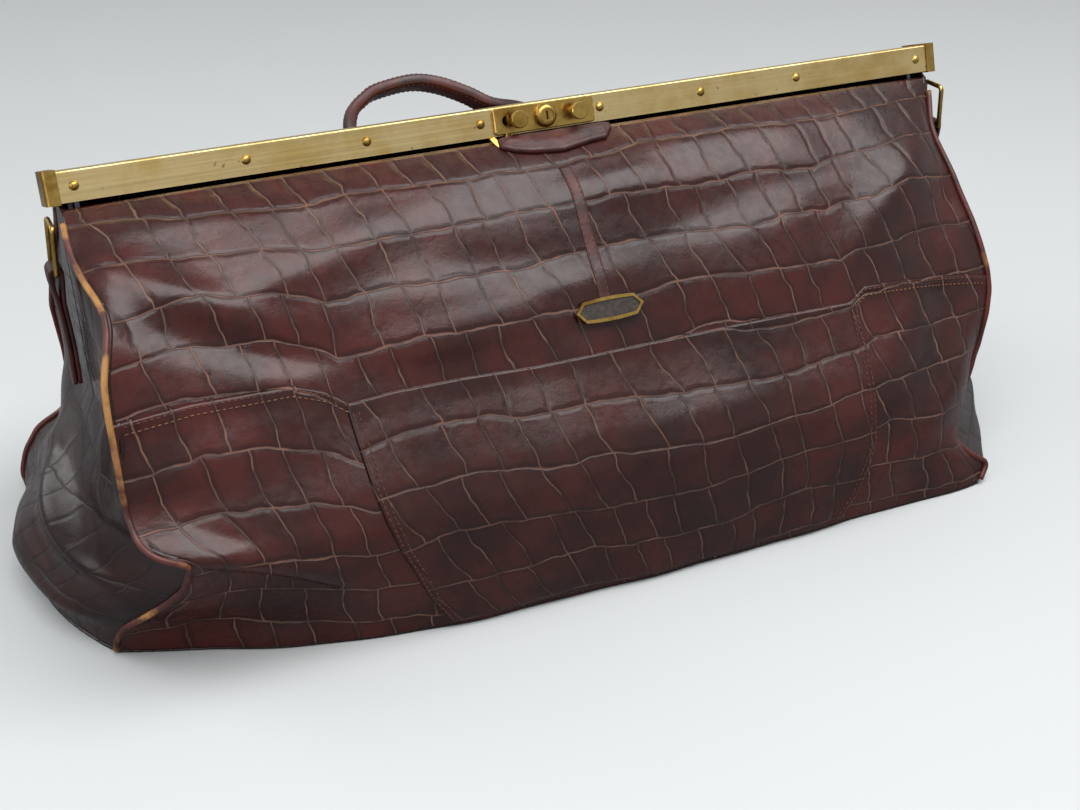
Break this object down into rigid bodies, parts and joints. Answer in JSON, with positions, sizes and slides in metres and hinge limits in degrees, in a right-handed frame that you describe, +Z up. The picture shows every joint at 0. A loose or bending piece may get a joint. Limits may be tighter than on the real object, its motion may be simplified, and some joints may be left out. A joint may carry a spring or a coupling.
{
  "type": "doctors bag",
  "caption": "Soft leather travel bag with a hinged, brass-edged mouth frame, slide-and-key lock, top handle, end rings, front patch pocket and bare badge.",
  "frame": {"origin": "on the floor under the middle of the body, between the two hinge pins", "axes": "+X along the mouth towards the right end, -Y towards the lock side, +Z up"},
  "size_m": [0.662, 0.3154, 0.2669],
  "materials": {
    "leather": "gloss",
    "brass": "satin",
    "steel": "satin",
    "board": "matte",
    "lining": "matte",
    "inlay": "satin"
  },
  "bodies": {
    "body": {"base_leather": "leather", "base_board": "board", "lining": "lining", "front_lower_panel": "leather", "rear_lower_panel": "leather", "left_gusset": "leather", "right_gusset": "leather", "front_upper_panel": "leather", "rear_upper_panel": "leather", "front_pocket": "leather", "centre_welt": "leather", "lock_pad": "leather", "badge_rim": "brass", "badge_inlay": "inlay", "front_left_piping": "leather", "front_right_piping": "leather", "rear_left_piping": "leather", "rear_right_piping": "leather", "left_hinge_pin": "steel", "right_hinge_pin": "steel", "left_hinge_plate": "steel", "right_hinge_plate": "steel", "left_ring_tab": "leather", "right_ring_tab": "leather"},
    "front_frame": {"front_channel": "brass", "front_steel": "steel", "front_rivets": "brass", "front_left_cap": "brass", "front_right_cap": "brass", "lock_plate": "brass", "keyhole_collar": "brass"},
    "rear_frame": {"rear_channel": "brass", "rear_steel": "steel", "rear_rivets": "brass", "rear_left_cap": "brass", "rear_right_cap": "brass", "lock_catches": "steel", "left_handle_bracket": "brass", "right_handle_bracket": "brass", "left_handle_pin": "brass", "right_handle_pin": "brass", "handle_rivets": "brass"},
    "left_knob": {"left_knob": "brass"},
    "right_knob": {"right_knob": "brass"},
    "key_plug": {"key_plug": "brass"},
    "handle": {"handle_strap": "leather", "handle_eyelets": "brass"},
    "left_ring": {"left_ring": "brass"},
    "right_ring": {"right_ring": "brass"}
  },
  "joints": [
    {"name": "front_open", "type": "hinge", "parent": "body", "child": "front_frame", "pos_m": [0, -0.03102, 0.15379], "axis": [1, 0, 0], "range_deg": [0, 80], "deforming": ["front_upper_panel", "centre_welt", "lock_pad", "front_left_piping", "front_right_piping"]},
    {"name": "rear_open", "type": "hinge", "parent": "body", "child": "rear_frame", "pos_m": [0, -0.03102, 0.15379], "axis": [-1, 0, 0], "range_deg": [0, 50], "deforming": ["rear_upper_panel", "rear_left_piping", "rear_right_piping"]},
    {"name": "left_knob_slide", "type": "slide", "parent": "front_frame", "child": "left_knob", "axis": [-1, 0, 0], "range_m": [0, 0.005], "stiffness_N_per_m": 600, "springref_m": -0.002},
    {"name": "right_knob_slide", "type": "slide", "parent": "front_frame", "child": "right_knob", "axis": [1, 0, 0], "range_m": [0, 0.005], "stiffness_N_per_m": 600, "springref_m": -0.002},
    {"name": "key_turn", "type": "hinge", "parent": "front_frame", "child": "key_plug", "pos_m": [0.0013, -0.014, 0.245], "axis": [0, -0.9511, 0.309], "range_deg": [0, 90]},
    {"name": "handle_swing", "type": "hinge", "parent": "rear_frame", "child": "handle", "pos_m": [0, 0.01708, 0.23385], "axis": [1, 0, 0], "range_deg": [0, 20]},
    {"name": "left_ring_swing", "type": "hinge", "parent": "body", "child": "left_ring", "pos_m": [-0.2891, -0.016, 0.2], "axis": [0, -1, 0], "range_deg": [0, 165]},
    {"name": "right_ring_swing", "type": "hinge", "parent": "body", "child": "right_ring", "pos_m": [0.2891, -0.016, 0.2], "axis": [0, 1, 0], "range_deg": [0, 165]}
  ]
}
